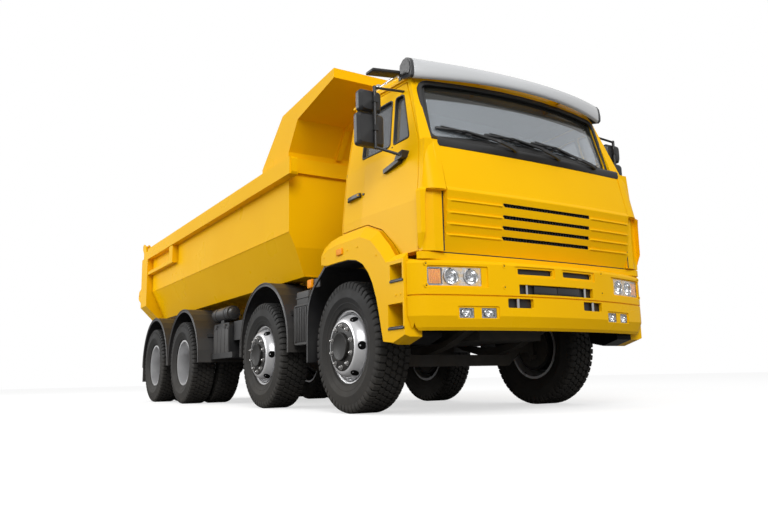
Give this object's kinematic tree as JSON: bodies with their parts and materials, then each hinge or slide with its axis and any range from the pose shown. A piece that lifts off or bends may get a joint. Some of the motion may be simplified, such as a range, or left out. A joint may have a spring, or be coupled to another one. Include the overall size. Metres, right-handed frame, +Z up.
{
  "type": "four-axle dump truck",
  "caption": "Cab-over dump truck with steered twin front axles, tipping body, top-hung tailgate, telescopic hoist and opening doors.",
  "frame": {"origin": "middle of the footprint on the ground, under the centre of the overall box", "axes": "+X forward, +Y to the truck's left, +Z up"},
  "size_m": [8.199, 2.936, 3.02],
  "materials": {
    "body_yellow": "gloss yellow paint",
    "frame_black": "satin black paint",
    "trim_black": "black moulded plastic and rubber",
    "glazing": "clear tinted",
    "lamp_lens": "clear moulded lens",
    "visor_grey": "grey gloss",
    "seat_fabric": "woven cloth",
    "cab_trim": "grained",
    "horn_metal": "bright",
    "hoist_steel": "machined",
    "rim_silver": "silver paint",
    "tyre_rubber": "rubber"
  },
  "bodies": {
    "chassis": {"frame_rails": "frame_black", "cross_members": "frame_black", "front_axles": "frame_black", "rear_axles": "frame_black", "springs": "frame_black", "engine_block": "frame_black", "cab_shell": "body_yellow", "cab_glass": "glazing", "windshield_trim": "trim_black", "front_panel": "body_yellow", "bumper": "body_yellow", "lamps": "lamp_lens", "lamp_housings": "trim_black", "fenders": "body_yellow", "sun_visor": "visor_grey", "seats": "seat_fabric", "dashboard": "cab_trim", "wipers": "trim_black", "mudguards": "trim_black", "side_equipment": "frame_black", "rear_bumper": "frame_black", "roof_fittings": "horn_metal"},
    "bed": {"bed_floor": "body_yellow", "bed_sides": "body_yellow", "bed_front": "body_yellow", "bed_rear_frame": "body_yellow"},
    "tailgate": {"tailgate": "body_yellow"},
    "hoist_barrel": {"hoist_barrel": "hoist_steel"},
    "hoist_stage_1": {"hoist_stage_1": "hoist_steel"},
    "hoist_stage_2": {"hoist_stage_2": "hoist_steel"},
    "hoist_stage_3": {"hoist_stage_3": "hoist_steel"},
    "hoist_stage_4": {"hoist_stage_4": "hoist_steel"},
    "hoist_stage_5": {"hoist_stage_5": "hoist_steel"},
    "door_right": {"door_right": "body_yellow", "door_glass_right": "glazing", "mirrors_right": "trim_black"},
    "door_left": {"door_left": "body_yellow", "door_glass_left": "glazing", "mirrors_left": "trim_black"},
    "knuckle_1_right": {"knuckle_1_right": "frame_black"},
    "wheel_1_right": {"rim_1_right": "rim_silver", "tyre_1_right": "tyre_rubber"},
    "knuckle_1_left": {"knuckle_1_left": "frame_black"},
    "wheel_1_left": {"rim_1_left": "rim_silver", "tyre_1_left": "tyre_rubber"},
    "knuckle_2_right": {"knuckle_2_right": "frame_black"},
    "wheel_2_right": {"rim_2_right": "rim_silver", "tyre_2_right": "tyre_rubber"},
    "knuckle_2_left": {"knuckle_2_left": "frame_black"},
    "wheel_2_left": {"rim_2_left": "rim_silver", "tyre_2_left": "tyre_rubber"},
    "wheel_3_right": {"rims_3_right": "rim_silver", "tyres_3_right": "tyre_rubber"},
    "wheel_3_left": {"rims_3_left": "rim_silver", "tyres_3_left": "tyre_rubber"},
    "wheel_4_right": {"rims_4_right": "rim_silver", "tyres_4_right": "tyre_rubber"},
    "wheel_4_left": {"rims_4_left": "rim_silver", "tyres_4_left": "tyre_rubber"}
  },
  "joints": [
    {"name": "bed_tilt", "type": "hinge", "parent": "chassis", "child": "bed", "pos_m": [-3.3695, 0, 1.06], "axis": [0, -1, 0], "range_deg": [0, 50]},
    {"name": "tailgate_swing", "type": "hinge", "parent": "bed", "child": "tailgate", "pos_m": [-3.8595, 0, 2.475], "axis": [0, 1, 0], "range_deg": [0, 85]},
    {"name": "hoist_swing", "type": "hinge", "parent": "chassis", "child": "hoist_barrel", "pos_m": [2.3805, 0, 1.06], "axis": [0, -1, 0], "range_deg": [0, 18.96]},
    {"name": "hoist_slide_1", "type": "slide", "parent": "hoist_barrel", "child": "hoist_stage_1", "axis": [-0.2444, 0, 0.9697], "range_m": [0, 0.931]},
    {"name": "hoist_slide_2", "type": "slide", "parent": "hoist_stage_1", "child": "hoist_stage_2", "axis": [-0.2444, 0, 0.9697], "range_m": [0, 0.931]},
    {"name": "hoist_slide_3", "type": "slide", "parent": "hoist_stage_2", "child": "hoist_stage_3", "axis": [-0.2444, 0, 0.9697], "range_m": [0, 0.931]},
    {"name": "hoist_slide_4", "type": "slide", "parent": "hoist_stage_3", "child": "hoist_stage_4", "axis": [-0.2444, 0, 0.9697], "range_m": [0, 0.931]},
    {"name": "hoist_slide_5", "type": "slide", "parent": "hoist_stage_4", "child": "hoist_stage_5", "axis": [-0.2444, 0, 0.9697], "range_m": [0, 0.931]},
    {"name": "door_right_swing", "type": "hinge", "parent": "chassis", "child": "door_right", "pos_m": [3.8925, -1.14916, 1.355], "axis": [0, 0, 1], "range_deg": [0, 70]},
    {"name": "door_left_swing", "type": "hinge", "parent": "chassis", "child": "door_left", "pos_m": [3.8925, 1.14916, 1.355], "axis": [0, 0, -1], "range_deg": [0, 70]},
    {"name": "steer_1_right", "type": "hinge", "parent": "chassis", "child": "knuckle_1_right", "pos_m": [2.8305, -0.86, 0.538], "axis": [0, 0, 1], "range_deg": [-32, 32]},
    {"name": "spin_1_right", "type": "hinge", "parent": "knuckle_1_right", "child": "wheel_1_right", "pos_m": [2.8305, -1.02, 0.538], "axis": [0, 1, 0], "continuous": true},
    {"name": "steer_1_left", "type": "hinge", "parent": "chassis", "child": "knuckle_1_left", "pos_m": [2.8305, 0.86, 0.538], "axis": [0, 0, 1], "range_deg": [-32, 32]},
    {"name": "spin_1_left", "type": "hinge", "parent": "knuckle_1_left", "child": "wheel_1_left", "pos_m": [2.8305, 1.02, 0.538], "axis": [0, 1, 0], "continuous": true},
    {"name": "steer_2_right", "type": "hinge", "parent": "chassis", "child": "knuckle_2_right", "pos_m": [1.0305, -0.86, 0.538], "axis": [0, 0, 1], "range_deg": [-21.22, 21.22]},
    {"name": "spin_2_right", "type": "hinge", "parent": "knuckle_2_right", "child": "wheel_2_right", "pos_m": [1.0305, -1.02, 0.538], "axis": [0, 1, 0], "continuous": true},
    {"name": "steer_2_left", "type": "hinge", "parent": "chassis", "child": "knuckle_2_left", "pos_m": [1.0305, 0.86, 0.538], "axis": [0, 0, 1], "range_deg": [-21.22, 21.22]},
    {"name": "spin_2_left", "type": "hinge", "parent": "knuckle_2_left", "child": "wheel_2_left", "pos_m": [1.0305, 1.02, 0.538], "axis": [0, 1, 0], "continuous": true},
    {"name": "spin_3_right", "type": "hinge", "parent": "chassis", "child": "wheel_3_right", "pos_m": [-1.5595, -1.095, 0.538], "axis": [0, 1, 0], "continuous": true},
    {"name": "spin_3_left", "type": "hinge", "parent": "chassis", "child": "wheel_3_left", "pos_m": [-1.5595, 1.095, 0.538], "axis": [0, 1, 0], "continuous": true},
    {"name": "spin_4_right", "type": "hinge", "parent": "chassis", "child": "wheel_4_right", "pos_m": [-2.9995, -1.095, 0.538], "axis": [0, 1, 0], "continuous": true},
    {"name": "spin_4_left", "type": "hinge", "parent": "chassis", "child": "wheel_4_left", "pos_m": [-2.9995, 1.095, 0.538], "axis": [0, 1, 0], "continuous": true}
  ],
  "couplings": [
    {"joint": "hoist_swing", "follows": "bed_tilt", "ratio": 0.37313},
    {"joint": "hoist_slide_1", "follows": "bed_tilt", "m_per_rad": 1.0611},
    {"joint": "hoist_slide_2", "follows": "bed_tilt", "m_per_rad": 1.0611},
    {"joint": "hoist_slide_3", "follows": "bed_tilt", "m_per_rad": 1.0611},
    {"joint": "hoist_slide_4", "follows": "bed_tilt", "m_per_rad": 1.0611},
    {"joint": "hoist_slide_5", "follows": "bed_tilt", "m_per_rad": 1.0611},
    {"joint": "steer_1_left", "follows": "steer_1_right", "ratio": 1},
    {"joint": "steer_2_right", "follows": "steer_1_right", "ratio": 0.66},
    {"joint": "steer_2_left", "follows": "steer_1_right", "ratio": 0.66}
  ]
}
